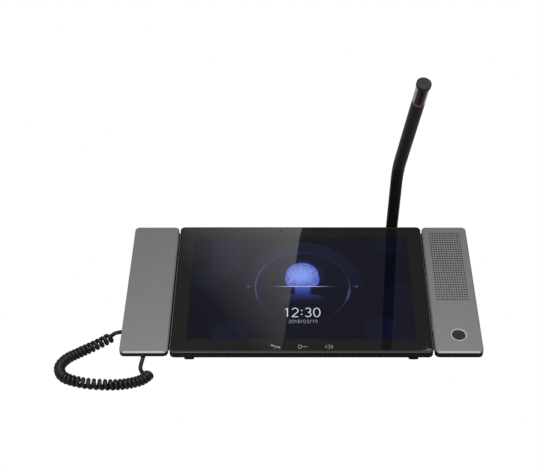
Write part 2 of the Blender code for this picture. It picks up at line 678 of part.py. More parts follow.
def call_button():
    ring = [(RING_RADIUS, 0.0), (RING_RADIUS, -2.4), (BUTTON_RADIUS + FIT, -2.4), (BUTTON_RADIUS + FIT, -0.9)]
    turned("button_ring", ring, RING, SLAB, (*BUTTON, 0.0), closed=True, steps=32)
    cap = [(0, -0.6), (BUTTON_RADIUS - 0.3, -0.6), (BUTTON_RADIUS, -0.9), (BUTTON_RADIUS, -3.0), (1.6, -3.0),
           (1.6, -3.3), (0, -3.3)]
    turned("call_button", cap, BLACK, BUTTON_FRAME, steps=32)
    block("button_switch", (-3.0, -3.0, -5.7), (3.0, 3.0, -4.5), DARK, BUTTON_FRAME)


# Gooseneck microphone ---------------------------------------------------------------------------

def microphone():
    collar = [(8.4, 34.6), (9.0, 34.0), (10.6, 26.0), (10.6, 23.9), (6.4, 23.9), (6.4, 34.6)]
    turned("mic_socket", collar, BLACK, STEM, closed=True, steps=32)
    rod("mic_stem_lower", STEM_RADIUS, (24.4, PIVOT_RUN - BEND_CLEARANCE), BLACK, STEM, sides=24)
    bm = bmesh.new()
    bmesh.ops.create_uvsphere(bm, u_segments=20, v_segments=12, radius=5.7 * MM)
    place("mic_neck_link", mesh_of("mic_neck_link", bm, smooth=True), BLACK, STEM, (0, 0, PIVOT_RUN))
    light = TIP_RUN - HEAD_LENGTH
    rod("mic_stem_upper", STEM_RADIUS, (BEND_CLEARANCE, light - FIT), BLACK, HEAD, end_radius=STEM_TOP_RADIUS,
        sides=24)
    rod("mic_light_ring", STEM_TOP_RADIUS, (light, light + 1.5), RED, HEAD, sides=24)
    sleeve = (light + 1.8, TIP_RUN - 4.0)
    turned(
        "mic_clear_sleeve",
        [(6.4, sleeve[1]), (6.4, sleeve[0]), (5.2, sleeve[0]), (5.2, sleeve[1])], CLEAR, HEAD, closed=True,
    )
    rod("mic_capsule", 4.6, sleeve, DARK, HEAD, sides=20)
    cap = rod("mic_cap", CAP_RADIUS, (TIP_RUN - 3.7, TIP_RUN), BLACK, HEAD, sides=24, edge=0.6)
    for i in (-1, 0, 1):
        cut(cap, rod(f"mic_dot_{i}", 0.45, (TIP_RUN - 0.6, TIP_RUN + 1), None, HEAD, (2.1 * i, 1.0), sides=8))


tablet()
stand()
bridges()
cradle()
handset()
cord()
speaker_wing()
microphone()
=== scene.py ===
"""Looks of the desk IP phone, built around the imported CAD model."""

import json
import math

import bmesh
import bpy
from mathutils import Matrix, Vector

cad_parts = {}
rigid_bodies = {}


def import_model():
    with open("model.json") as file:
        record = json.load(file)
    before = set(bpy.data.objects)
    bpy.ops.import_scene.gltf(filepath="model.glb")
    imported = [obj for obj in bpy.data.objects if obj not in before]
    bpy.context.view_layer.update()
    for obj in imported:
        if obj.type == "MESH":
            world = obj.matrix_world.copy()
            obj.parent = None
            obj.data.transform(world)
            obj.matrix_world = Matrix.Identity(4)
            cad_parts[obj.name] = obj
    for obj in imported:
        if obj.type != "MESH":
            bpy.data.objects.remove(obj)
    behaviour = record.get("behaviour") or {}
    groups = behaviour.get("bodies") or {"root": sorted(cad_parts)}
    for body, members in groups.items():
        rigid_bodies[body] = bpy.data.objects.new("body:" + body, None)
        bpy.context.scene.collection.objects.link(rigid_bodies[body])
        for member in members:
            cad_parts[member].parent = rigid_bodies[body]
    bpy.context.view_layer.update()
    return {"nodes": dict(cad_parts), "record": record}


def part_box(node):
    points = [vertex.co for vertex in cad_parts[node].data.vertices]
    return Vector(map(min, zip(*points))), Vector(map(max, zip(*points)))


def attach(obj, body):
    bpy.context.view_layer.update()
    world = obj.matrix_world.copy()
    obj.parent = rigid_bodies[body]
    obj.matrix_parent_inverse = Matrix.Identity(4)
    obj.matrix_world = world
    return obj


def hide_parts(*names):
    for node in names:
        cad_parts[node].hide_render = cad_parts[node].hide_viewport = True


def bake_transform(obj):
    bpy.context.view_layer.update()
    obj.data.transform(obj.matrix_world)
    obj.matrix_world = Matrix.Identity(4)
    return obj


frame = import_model()
NODES = frame["nodes"]

MM = 0.001

# The slabs' frame: X right, Y up the slope from the front edge, Z out of the glass, in millimetres.
TILT = math.radians(12.0)
FRONT = -91.0
LENGTH = 166.5
THICK = 8.0
EDGE_HEIGHT = 5.5 + THICK * math.cos(TILT)
TABLET_HALF = 123.4
WING_IN, WING_OUT = 124.8, 170.2
WING_MIDDLE = (WING_IN + WING_OUT) / 2
CORNER = 4.5
BEVEL = 1.3
SCREEN = (-108.5, 15.9, 108.5, 151.4)

GRILLE_COLUMNS, GRILLE_ROWS = 13, 29
GRILLE = (132.4, 65.9, 162.1, 156.4)
HOLE_RADIUS = 0.78
BUTTON = (148.6, 21.4)
BUTTON_RADIUS = 6.1
RING_RADIUS = 7.4
SIDE_SLOT = (29.0, 102.0)

MIC_FOOT = Vector((93.30, 80.0, 0.0))
MIC_LEAN = Vector((0.041, 0.0, 1.0))
MIC_PIVOT = MIC_FOOT + MIC_LEAN * 110.6
MIC_TIP = Vector((111.45, 23.6, 233.6))
LOWER = MIC_LEAN.normalized()
UPPER = (MIC_TIP - MIC_PIVOT).normalized()
STEM_FOOT_RADIUS, STEM_TOP_RADIUS = 6.0, 6.4
HEAD_LENGTH = 26.6
HEAD_MATRIX = Matrix.Translation(MIC_PIVOT * MM) @ UPPER.to_track_quat("Z", "X").to_matrix().to_4x4()
FOOT_MATRIX = Matrix.Translation(MIC_FOOT * MM) @ LOWER.to_track_quat("Z", "X").to_matrix().to_4x4()
HEAD_RIGHT = HEAD_MATRIX.to_3x3().inverted() @ Vector((1.0, 0.0, 0.0))
HEAD_TURN = math.atan2(HEAD_RIGHT.y, HEAD_RIGHT.x)

WIRE_RADIUS = 1.95
HELIX_RADIUS = 3.42
COIL_HEIGHT = 5.6
COIL_TURNS = 41
COIL_TIGHT, COIL_WAVE, COIL_SWING = 0.36, 0.62, 0.24
CORD_STEP, LEAD_STEP, AXIS_STEP, JOIN_STEP = 1.35, 1.2, 0.2, 0.6
JOIN_REACH = 0.5
COIL_SKIPPED = 15
# The cord's route, in millimetres: the straight lead from the plug, the coil's middle line
# and the handset's lead.
BASE_LEAD = (
    (-168.9, -53.2, 8.0), (-171.6, -53.1, 7.8), (-174.2, -52.9, 7.2), (-176.6, -53.0, 6.8),
    (-178.6, -53.6, 6.6),
)
COIL = (
    (-179.8, -56.6), (-194.2, -70.3), (-208.6, -81.9), (-219.5, -92.0), (-223.6, -104.3),
    (-217.5, -117.5), (-201.0, -125.0), (-181.0, -128.2), (-164.0, -127.8), (-150.5, -124.2),
    (-143.4, -119.3), (-139.9, -113.6),
)
HANDSET_LEAD = (
    (-142.6, -109.9, 2.7), (-146.0, -108.2, 2.4), (-148.3, -105.0, 2.5), (-149.3, -102.0, 3.4),
    (-148.9, -99.4, 5.6), (-148.1, -96.8, 7.8), (-147.5, -94.75, 8.77),
)

SLAB = Matrix.Translation((0.0, FRONT * MM, EDGE_HEIGHT * MM)) @ Matrix.Rotation(TILT, 4, "X")
WORLD = Matrix.Identity(4)
UP = Vector((0.0, 0.0, 1.0))


# Materials --------------------------------------------------------------------------------------

class Field:
    """A number that varies over a surface, worked out by Math nodes."""

    def __init__(self, tree, socket):
        self.tree = tree
        self.socket = socket

    def _math(self, operation, *others):
        node = self.tree.nodes.new("ShaderNodeMath")
        node.operation = operation
        for slot, value in zip(node.inputs, (self, *others)):
            if isinstance(value, Field):
                self.tree.links.new(value.socket, slot)
            else:
                slot.default_value = value
        return Field(self.tree, node.outputs[0])

    def __add__(self, other):
        return self._math("ADD", other)

    def __sub__(self, other):
        return self._math("SUBTRACT", other)

    def __mul__(self, other):
        return self._math("MULTIPLY", other)

    def __truediv__(self, other):
        return self._math("DIVIDE", other)

    def __pow__(self, other):
        return self._math("POWER", other)

    def bigger(self, other):
        return self._math("MAXIMUM", other)

    def smaller(self, other):
        return self._math("MINIMUM", other)

    def size(self):
        return self._math("ABSOLUTE")

    def root(self):
        return self._math("SQRT")

    def ramp(self, low, high):
        """Smoothly 0 to 1 as the field goes from low to high."""
        node = self.tree.nodes.new("ShaderNodeMapRange")
        node.interpolation_type = "SMOOTHSTEP"
        self.tree.links.new(self.socket, node.inputs["Value"])
        node.inputs["From Min"].default_value = low
        node.inputs["From Max"].default_value = high
        return Field(self.tree, node.outputs[0])


def principled(name, colour, roughness, metallic=0.0, gloss=0.5):
    made = bpy.data.materials.new(name)
    made.use_nodes = True
    shader = made.node_tree.nodes["Principled BSDF"]
    shader.inputs["Base Color"].default_value = (*colour, 1.0)
    shader.inputs["Roughness"].default_value = roughness
    shader.inputs["Metallic"].default_value = metallic
    shader.inputs["Specular IOR Level"].default_value = gloss
    return made, made.node_tree, shader


def blended(tree, low, high, part):
    """A colour that runs from low to high as a field goes from 0 to 1."""
    node = tree.nodes.new("ShaderNodeMix")
    node.data_type = "RGBA"
    node.inputs["A"].default_value = (*low, 1.0)
    node.inputs["B"].default_value = (*high, 1.0)
    tree.links.new(part.socket, node.inputs["Factor"])
    return node.outputs["Result"]


def split_axes(tree, socket):
    """The X, Y and Z of a vector socket as fields."""
    node = tree.nodes.new("ShaderNodeSeparateXYZ")
    tree.links.new(socket, node.inputs[0])
    return [Field(tree, output) for output in node.outputs]


def coordinates(tree, stretch=(1.0, 1.0, 1.0)):
    """Object coordinates in millimetres, stretched on each axis."""
    source = tree.nodes.new("ShaderNodeTexCoord")
    mapping = tree.nodes.new("ShaderNodeMapping")
    mapping.inputs["Scale"].default_value = [value / MM for value in stretch]
    tree.links.new(source.outputs["Object"], mapping.inputs["Vector"])
    return mapping.outputs["Vector"]


def noise(tree, scale, stretch=(1.0, 1.0, 1.0)):
    node = tree.nodes.new("ShaderNodeTexNoise")
    node.inputs["Scale"].default_value = scale
    node.inputs["Detail"].default_value = 3.0
    tree.links.new(coordinates(tree, stretch), node.inputs["Vector"])
    return Field(tree, node.outputs["Fac"])


def textured(name, colour, roughness, metallic=0.0, grain=2.5, bump=0.05, spread=0.06, shade=0.12,
             stretch=(1.0, 1.0, 1.0), gloss=0.5):
    """A surface with fine grain in its relief, and slow changes in its gloss and colour."""
    made, tree, shader = principled(name, colour, roughness, metallic, gloss)
    fine = noise(tree, grain, stretch)
    slow = noise(tree, 0.06, stretch)
    dull = slow * spread + fine * spread + (roughness - spread)
    tree.links.new(dull.socket, shader.inputs["Roughness"])
    darker = [c * (1 - shade) for c in colour]
    lighter = [min(1.0, c * (1 + shade)) for c in colour]
    paint = blended(tree, darker, lighter, fine * 0.5 + slow * 0.5)
    tree.links.new(paint, shader.inputs["Base Color"])
    relief = tree.nodes.new("ShaderNodeBump")
    relief.inputs["Strength"].default_value = bump
    relief.inputs["Distance"].default_value = 0.05 * MM
    tree.links.new(fine.socket, relief.inputs["Height"])
    tree.links.new(relief.outputs["Normal"], shader.inputs["Normal"])
    return made


def lit(name, colour, glow, strength=1.0, roughness=0.04):
    """A dark glossy surface with even light behind it."""
    made, _, shader = principled(name, colour, roughness)
    shader.inputs["Emission Color"].default_value = (*glow, 1.0)
    shader.inputs["Emission Strength"].default_value = strength
    return made


def distance(du, dv):
    return (du * du + dv * dv).root()


def pill_mask(u, v, centre, radius, low, high, soft=0.6):
    """A round-ended bar that runs along v."""
    beyond = (v - high).bigger(0.0) + (v * -1.0 + low).bigger(0.0)
    return distance(u - centre, beyond).ramp(radius + soft, radius - soft)


def circle_mask(u, v, centre, radius, soft=0.6):
    return pill_mask(u, v, centre[0], radius, centre[1], centre[1], soft)


def object_axes(tree):
    """The object's own X, Y and Z in millimetres."""
    source = tree.nodes.new("ShaderNodeTexCoord")
    return [axis * (1 / MM) for axis in split_axes(tree, source.outputs["Object"])]


def glow_sum(tree, shader, parts):
    """Adds coloured fields together as the surface's own light."""
    total = None
    for field, colour in parts:
        node = tree.nodes.new("ShaderNodeVectorMath")
        node.operation = "SCALE"
        node.inputs[0].default_value = colour
        tree.links.new(field.socket, node.inputs["Scale"])
        if total is None:
            total = node.outputs["Vector"]
            continue
        both = tree.nodes.new("ShaderNodeVectorMath")
        both.operation = "ADD"
        tree.links.new(total, both.inputs[0])
        tree.links.new(node.outputs["Vector"], both.inputs[1])
        total = both.outputs["Vector"]
    tree.links.new(total, shader.inputs["Emission Color"])
    shader.inputs["Emission Strength"].default_value = 1.0


HALO_CENTRE = (1.5, 82.8)


def screen_material():
    """The lit panel: a near-black ground with faint discs, a halo ring and a glowing bust."""
    made, tree, shader = principled("screen_lit", (0.002, 0.002, 0.0025), 0.018)
    u, v, _ = object_axes(tree)
    away = distance(u - HALO_CENTRE[0], v - HALO_CENTRE[1])
    side = (u - HALO_CENTRE[0]).size()
    upper = v.ramp(56.0, 124.0)
    halo = away.ramp(59.4, 58.8) * upper
    inner = away.ramp(46.6, 45.8) * upper * 0.35
    orb_haze = circle_mask(u, v, (HALO_CENTRE[0], 98.0), 21.0, 2.0)
    decor = (
        pill_mask(u, v, -74.5, 14.6, 109.5, 170.0) * 0.95
        + circle_mask(u, v, (-93.0, 91.5), 16.0) * 0.45
        + circle_mask(u, v, (-69.0, 21.5), 16.0) * 0.75
        + circle_mask(u, v, (75.0, 29.0), 15.0) * 0.5
        + circle_mask(u, v, (90.0, 141.0), 15.0) * 0.5
        + pill_mask(u, v, 97.0, 16.0, 0.0, 71.0) * 0.24
    )
    fall = ((v - 60.0).bigger(0.0) * 0.05) ** 2.0
    neck = side.ramp(9.2, 6.0)
    shoulders = ((side * 0.04) ** 3.0 + ((v - 58.0).bigger(0.0) / 14.5) ** 3.0).ramp(1.14, 0.86)
    bust = neck.bigger(shoulders * (side * -0.026 + 1.0)) * fall * v.ramp(90.0, 84.0)
    glow_sum(tree, shader, (
        (away.ramp(150.0, 30.0) * 0.3 + 0.85, (0.0010, 0.0016, 0.0068)),
        (halo - inner + decor, (0.0032, 0.0040, 0.0150)),
        (orb_haze, (0.0030, 0.0042, 0.0180)),
        (bust, (0.045, 0.075, 0.38)),
    ))
    return made


def orb_material():
    """A glowing ball of linked points."""
    made, tree, shader = principled("orb_lit", (0.004, 0.004, 0.006), 0.04)
    u, v, _ = object_axes(tree)
    away = distance(u, v)
    cells = tree.nodes.new("ShaderNodeTexVoronoi")
    cells.feature = "DISTANCE_TO_EDGE"
    cells.inputs["Scale"].default_value = 0.34
    tree.links.new(coordinates(tree), cells.inputs["Vector"])
    web = Field(tree, cells.outputs["Distance"]).ramp(0.14, 0.0)
    points = tree.nodes.new("ShaderNodeTexVoronoi")
    points.inputs["Scale"].default_value = 0.22
    tree.links.new(coordinates(tree), points.inputs["Vector"])
    spark = Field(tree, points.outputs["Distance"]).ramp(0.20, 0.03)
    core = away.ramp(18.0, 3.0)
    light = (core * 0.52 + web * 0.26 + spark * 0.55).smaller(1.3)
    glow = blended(tree, (0.055, 0.085, 0.46), (0.36, 0.50, 1.12), light)
    tree.links.new(glow, shader.inputs["Emission Color"])
    shader.inputs["Emission Strength"].default_value = 0.95
    return made


def scan_line_material():
    made, tree, shader = principled("scan_line_lit", (0.004, 0.004, 0.006), 0.04)
    u, _, _ = object_axes(tree)
    bright = u.size().ramp(37.0, 6.0)
    glow = blended(tree, (0.012, 0.014, 0.05), (0.62, 0.66, 1.0), bright)
    tree.links.new(glow, shader.inputs["Emission Color"])
    shader.inputs["Emission Strength"].default_value = 0.9
    return made


def stem_material():
    """Black paint that greys towards the top of the stem: a painted reflection of the brighter studio that
    the upper stem faces.
    """
    made, tree, shader = principled("stem_black_painted_reflection", (0.005, 0.005, 0.005), 0.34, gloss=0.3)
    _, _, height = object_axes(tree)
    # painted reflection: the black lightens with height, where the upper stem faces the brighter studio
    paint = blended(tree, (0.004, 0.004, 0.004), (0.021, 0.021, 0.022), height.ramp(92.0, 138.0))
    tree.links.new(paint, shader.inputs["Base Color"])
    fine = noise(tree, 2.0)
    tree.links.new((fine * 0.06 + 0.31).socket, shader.inputs["Roughness"])
    shader.inputs["Sheen Weight"].default_value = 0.25
    shader.inputs["Sheen Roughness"].default_value = 0.25
    return made


def smoked_plastic():
    """An opaque stand-in for a smoked sleeve: a dark streak in front, and painted reflections that glow as
    faint white light down its two sides.
    """
    made, tree, shader = principled("smoked_sleeve", (0.05, 0.05, 0.05), 0.12)
    source = tree.nodes.new("ShaderNodeTexCoord")
    turned_round = tree.nodes.new("ShaderNodeMapping")
    turned_round.inputs["Rotation"].default_value = (0.0, 0.0, -HEAD_TURN)
    tree.links.new(source.outputs["Object"], turned_round.inputs["Vector"])
    across = split_axes(tree, turned_round.outputs["Vector"])[0] * (1 / (MM * STEM_TOP_RADIUS))
    grey = (across + 0.08).size().ramp(0.04, 0.34) * 0.030 + 0.008
    blend = tree.nodes.new("ShaderNodeCombineColor")
    for slot in blend.inputs:
        tree.links.new(grey.socket, slot)
    tree.links.new(blend.outputs["Color"], shader.inputs["Base Color"])
    # painted reflections: a white glow down both sides of the sleeve
    painted_side_glints = across.ramp(0.40, 0.98) * 0.42 + across.ramp(-0.66, -1.0) * 0.24
    glow_sum(tree, shader, ((painted_side_glints, (1.0, 1.0, 1.0)),))
    fine = noise(tree, 1.5)
    tree.links.new((fine * 0.05 + 0.10).socket, shader.inputs["Roughness"])
    return made


def clear_plastic(name, colour, roughness=0.05):
    made, _, shader = principled(name, colour, roughness)
    shader.inputs["Transmission Weight"].default_value = 0.9
    shader.inputs["IOR"].default_value = 1.49
    return made


def grey(value):
    return (value, value, value)


ANODISED = textured("anodised_grey", grey(0.20), 0.42, 0.55, grain=4.0, bump=0.12, spread=0.05, shade=0.05)
# painted highlight: a much lighter, more metallic copy of the lid's grey, for the bevels
PAINTED_HIGHLIGHT_EDGE = textured("edge_painted_highlight", grey(0.72), 0.24, 0.9, grain=4.0, bump=0.03, spread=0.03, shade=0.03)
BLACK_GLOSS = textured("black_gloss", (0.006, 0.006, 0.0065), 0.35, grain=3.0, bump=0.04, spread=0.05,
                       gloss=0.15)
BLACK_SATIN = textured("black_satin", (0.007, 0.007, 0.0075), 0.42, grain=3.0, bump=0.10, spread=0.06,
                       gloss=0.2)
DARK_PLASTIC = textured("dark_plastic", (0.012, 0.012, 0.0125), 0.52, grain=2.0, bump=0.25, spread=0.08,
                        gloss=0.25)
RUBBER = textured("rubber", grey(0.010), 0.80, grain=1.4, bump=0.3, spread=0.08, gloss=0.3)
STEEL = textured("brushed_steel", (0.50, 0.50, 0.51), 0.32, 1.0, grain=1.0, bump=0.08,
                 stretch=(0.2, 3.0, 3.0))
BOARD = textured("circuit_board", (0.02, 0.12, 0.05), 0.5, grain=0.8, bump=0.2)
CLOTH = textured("speaker_cloth", grey(0.018), 0.92, grain=2.2, bump=0.5)
CORD = textured("cord_jacket", grey(0.008), 0.36, grain=1.2, bump=0.12, spread=0.08, gloss=0.4)
STEM = stem_material()
INK = textured("glass_ink", grey(0.0092), 0.02, grain=1.0, bump=0.0, spread=0.003, shade=0.02)
CHROME = textured("bright_ring", grey(0.80), 0.30, 0.2, grain=2.0, bump=0.02, spread=0.03, shade=0.03)
SCREEN_LIT = screen_material()


# Mesh work, in millimetres ------------------------------------------------------------------------

def add_object(name, bm):
    data = bpy.data.meshes.new(name)
    bm.to_mesh(data)
    bm.free()
    made = bpy.data.objects.new(name, data)
    bpy.context.scene.collection.objects.link(made)
    return made


def finish_piece(name, bm, shades, body, replaced=(), matrix=SLAB, smooth=0.0):
    """Turns a mesh drawn in millimetres into a piece that rides on a body."""
    bmesh.ops.recalc_face_normals(bm, faces=bm.faces)
    bm.transform(Matrix.Scale(MM, 4))
    made = add_object(name, bm)
    data = made.data
    for shade in shades:
        data.materials.append(shade)
    if smooth:
        data.shade_smooth()
        data.set_sharp_from_angle(angle=math.radians(smooth))
        flat = made.modifiers.new("flat_faces", "WEIGHTED_NORMAL")
        flat.keep_sharp = True
    made.matrix_world = matrix
    if replaced:
        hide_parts(*replaced)
    if body:
        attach(made, body)
    return made


def oval(centre, size, start, end, steps=20):
    """Points of an ellipse's arc, its angles in degrees."""
    points = []
    for i in range(steps + 1):
        turn = math.radians(start + (end - start) * i / steps)
        points.append((centre[0] + size[0] * math.cos(turn), centre[1] + size[1] * math.sin(turn)))
    return points


def arc(centre, radius, start, end, steps):
    return oval(centre, (radius, radius), start, end, steps)


def rounded_outline(box, radius, steps=10):
    x0, y0, x1, y1 = box
    radius = max(radius, 0.02)
    corners = ((x1 - radius, y0 + radius, -90), (x1 - radius, y1 - radius, 0),
               (x0 + radius, y1 - radius, 90), (x0 + radius, y0 + radius, 180))
    points = []
    for x, y, start in corners:
        points += arc((x, y), radius, start, start + 90, steps)
    return points


def inset(box, depth):
    return (box[0] + depth, box[1] + depth, box[2] - depth, box[3] - depth)


def bridge(bm, rings, closed=False):
    """Quads between neighbouring rings of vertices; returns them ring by ring."""
    pairs = list(zip(rings, rings[1:]))
    if closed:
        pairs.append((rings[-1], rings[0]))
    bands = []
    for lower, upper in pairs:
        count = len(lower)
        band = []
        for i in range(count):
            j = (i + 1) % count
            band.append(bm.faces.new((lower[i], lower[j], upper[j], upper[i])))
        bands.append(band)
    return bands


def rim_rings(bm, box, corner, profile, steps=10):
    """Rings of a rounded rectangle at each (inset, height) of a profile."""
    return [
        [bm.verts.new((x, y, z)) for x, y in rounded_outline(inset(box, depth), corner - depth, steps)]
        for depth, z in profile
    ]


def plate(bm, box, corner, profile, steps):
    """A closed slab whose edge follows a profile from bottom to top; returns its edge's bands."""
    rings = rim_rings(bm, box, corner, profile, steps)
    bands = bridge(bm, rings)
    bm.faces.new(list(reversed(rings[0])))
    bm.faces.new(rings[-1])
    return bands


def edge_curve(low, high, bottom, top, steps=5):
    """Edge profile with a rounded bottom and a flat bevel of width `top` with softened ends."""
    points = arc((bottom, low + bottom), bottom, 270, 180, steps)
    soft = min(top * 0.22, (high - top - low - bottom) * 0.8)
    points += [(0.0, high - top - soft), (soft * 0.25, high - top)]
    points += [(top - soft * 0.2, high - soft * 0.45), (top + soft, high)]
    return points


def turned(bm, profile, steps, closed=False, at=(0.0, 0.0)):
    """A (radius, height) profile turned about the vertical through `at`."""
    rings = []
    for radius, z in profile:
        if radius:
            outline = arc(at, radius, 0, 360, steps)[:-1]
        else:
            outline = [at]
        rings.append([bm.verts.new((x, y, z)) for x, y in outline])
    pairs = list(zip(rings, rings[1:]))
    if closed:
        pairs.append((rings[-1], rings[0]))
    for lower, upper in pairs:
        for i in range(steps):
            j = (i + 1) % steps
            if len(lower) == 1:
                corners = (lower[0], upper[j], upper[i])
            elif len(upper) == 1:
                corners = (lower[i], lower[j], upper[0])
            else:
                corners = (lower[i], lower[j], upper[j], upper[i])
            bm.faces.new(corners)


def turned_piece(name, profile, steps, shade, body, replaced, matrix, smooth=40, closed=False):
    bm = bmesh.new()
    turned(bm, profile, steps, closed)
    return finish_piece(name, bm, [shade], body, replaced, matrix, smooth)


def smooth_route(route, spacing):
    """Even points along a smooth curve through given ones."""
    knots = [Vector(p) for p in route]
    knots = [2 * knots[0] - knots[1], *knots, 2 * knots[-1] - knots[-2]]
    fine = []
    for a, b, c, d in zip(knots, knots[1:], knots[2:], knots[3:]):
        for step in range(32):
            t = step / 32
            fine.append(0.5 * (2 * b + (c - a) * t + (2 * a - 5 * b + 4 * c - d) * t**2
                               + (3 * b - a - 3 * c + d) * t**3))
    fine.append(knots[-2])
    runs = [0.0]
    for a, b in zip(fine, fine[1:]):
        runs.append(runs[-1] + (b - a).length)
    count = max(2, round(runs[-1] / spacing))
    points, k = [], 1
    for i in range(count + 1):
        wanted = runs[-1] * i / count
        while k < len(runs) - 1 and runs[k] < wanted:
            k += 1
        part = (wanted - runs[k - 1]) / (runs[k] - runs[k - 1])
        points.append(fine[k - 1].lerp(fine[k], part))
    return points


def sweep(bm, path, radii, sides):
    """A round tube along a path, with a radius for each point, kept from twisting."""
    rings = []
    ahead = (path[1] - path[0]).normalized()
    side = ahead.orthogonal().normalized()
    for i, point in enumerate(path):
        before, after = path[max(i - 1, 0)], path[min(i + 1, len(path) - 1)]
        turn = (after - before).normalized()
        side = (side - turn * side.dot(turn)).normalized()
        up = turn.cross(side)
        rings.append([
            bm.verts.new(point + (side * math.cos(math.tau * k / sides) + up * math.sin(math.tau * k / sides))
                         * radii[i])
            for k in range(sides)
        ])
    bridge(bm, rings)
    bm.faces.new(list(reversed(rings[0])))
    bm.faces.new(rings[-1])


# Camera -------------------------------------------------------------------------------------------

SENSOR_WIDTH, LENS, LENS_SHIFT = 36.0, 76.44, -0.03956
CAMERA_PLACE = (-0.0094, -0.92678, 0.68463)
LOOK_DOWN = 32.96


def camera():
    data = bpy.data.cameras.new("photo_camera")
    data.sensor_width = SENSOR_WIDTH
    data.lens = LENS
    data.shift_x = LENS_SHIFT
    data.clip_start = 0.01
    data.clip_end = 50.0
    made = bpy.data.objects.new("photo_camera", data)
    bpy.context.scene.collection.objects.link(made)
    made.location = CAMERA_PLACE
    made.rotation_euler = (math.radians(90.0 - LOOK_DOWN), 0.0, 0.0)
    bpy.context.scene.camera = made


# Cord ---------------------------------------------------------------------------------------------

def turns_from_end(part):
    """Turns from this share of the coil's run to its end, their pitch swinging between loose and tight."""
    wave = math.tau / COIL_WAVE

    def wound(share):
        return share + COIL_SWING / wave * math.sin(wave * (share - COIL_TIGHT))

    return COIL_TURNS * (wound(1.0) - wound(part))


def first_near(points, place):
    return next(i for i, point in enumerate(points) if (point - place).length < JOIN_REACH)


def cord_path():
    """Lead, helix and lead as one line of points, with the coil wound round its middle line."""
    lead = smooth_route(BASE_LEAD, LEAD_STEP)
    axis = smooth_route([(x, y, COIL_HEIGHT) for x, y in COIL], AXIS_STEP)
    helix = []
    last = len(axis) - 1
    for i, centre in enumerate(axis):
        ahead = (axis[min(i + 1, last)] - axis[max(i - 1, 0)]).normalized()
        right = ahead.cross(UP).normalized()
        turn = -math.pi / 2 + math.tau * turns_from_end(i / last)
        helix.append(centre + (right * math.cos(turn) + UP * math.sin(turn)) * HELIX_RADIUS)
    helix = helix[COIL_SKIPPED:]
    tail = smooth_route([helix[-4], helix[-1], *HANDSET_LEAD], JOIN_STEP)
    head = smooth_route([lead[-3], lead[-1], helix[0], helix[8]], JOIN_STEP)
    joint = head[first_near(head, lead[-1]) + 1:first_near(head, helix[0])]
    return lead + joint + helix + tail[first_near(tail, helix[-1]) + 1:]


def even(points, spacing):
    """A smooth line through every third point, evenly divided."""
    return smooth_route(points[::3] + ([points[-1]] if (len(points) - 1) % 3 else []), spacing)


def cord():
    path = even(cord_path(), CORD_STEP)
    bm = bmesh.new()
    sweep(bm, path, [WIRE_RADIUS] * len(path), sides=10)
    made = finish_piece("curly_cord", bm, [CORD], None,
                        ("cord_coil", "cord_lead_base", "cord_lead_handset"), WORLD, smooth=60)
    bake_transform(made)
    plug = cord_plug()
    relief = cord_grommet()
    length = sum((b - a).length for a, b in zip(path, path[1:])) * MM
    tuple(path[0] * MM)
    [tuple(p * MM) for p in path]


def cord_plug():
    """Clear modular plug: a narrow nose and a wider body behind it."""
    low, high = (Vector(v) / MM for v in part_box("cord_plug"))
    bm = bmesh.new()
    middle_y, middle_z = (low.y + high.y) / 2, (low.z + high.z) / 2
    for x0, x1, half_y, half_z in ((low.x, low.x + 6.0, 2.9, 2.0), (low.x + 6.0, high.x, 3.35, 2.35)):
        rings = []
        for x in (x0, x1):
            box = (middle_y - half_y, middle_z - half_z, middle_y + half_y, middle_z + half_z)
            rings.append([bm.verts.new((x, y, z)) for y, z in rounded_outline(box, 0.5, 3)])
        bridge(bm, rings)
        bm.faces.new(rings[0])
        bm.faces.new(list(reversed(rings[1])))
    return finish_piece("modular_plug", bm, [CLEAR_PLUG], "phone", ("cord_plug",), WORLD)


def cord_grommet():
    """Ribbed, tapered strain relief on the handset's front face."""
    profile = [(0.0, 0.0), (2.3, 0.0), (2.45, 0.3), (2.45, 0.8), (2.15, 1.0), (2.15, 1.4), (2.35, 1.6),
               (2.3, 2.1), (2.05, 2.3), (2.05, 2.6), (2.25, 2.8), (2.2, 3.1), (1.9, 3.2), (0.0, 3.2)]
    middle = Matrix.Translation(Vector((-WING_MIDDLE, 0.0, -3.8)) * MM)
    place = SLAB @ middle @ Matrix.Rotation(math.pi / 2, 4, "X")
    return turned_piece("cord_relief", profile, 24, RUBBER, "handset", ("cord_grommet",), place)


# Tablet ---------------------------------------------------------------------------------------------

TABLET_BOX = (-TABLET_HALF, 0.0, TABLET_HALF, LENGTH)
POCKET = (-113.5, 10.9, 113.5, 156.4)
BACK_OPENING = (-118.5, 5.0, 118.5, 161.5)
GLASS_INSET = 1.4


def tablet_frame():
    bm = bmesh.new()
    outer = edge_curve(-THICK, 0.0, 0.4, 0.8)
    outer[-1] = (0.95, 0.0)
    rings = rim_rings(bm, TABLET_BOX, CORNER, outer + [(1.12, -0.06), (1.14, -1.5)])
    for box, z in ((POCKET, -1.5), (POCKET, -5.7), (BACK_OPENING, -5.7), (BACK_OPENING, -THICK)):
        rings.append([bm.verts.new((x, y, z)) for x, y in rounded_outline(box, 1.0)])
    bands = bridge(bm, rings, closed=True)
    # the chamfer band gets the painted-highlight material
    for face in bands[len(outer) - 3]:
        face.material_index = 1
    finish_piece("tablet_body", bm, [BLACK_GLOSS, FRAME_EDGE_HIGHLIGHT], "phone",
                 ("tablet_frame",), smooth=25)


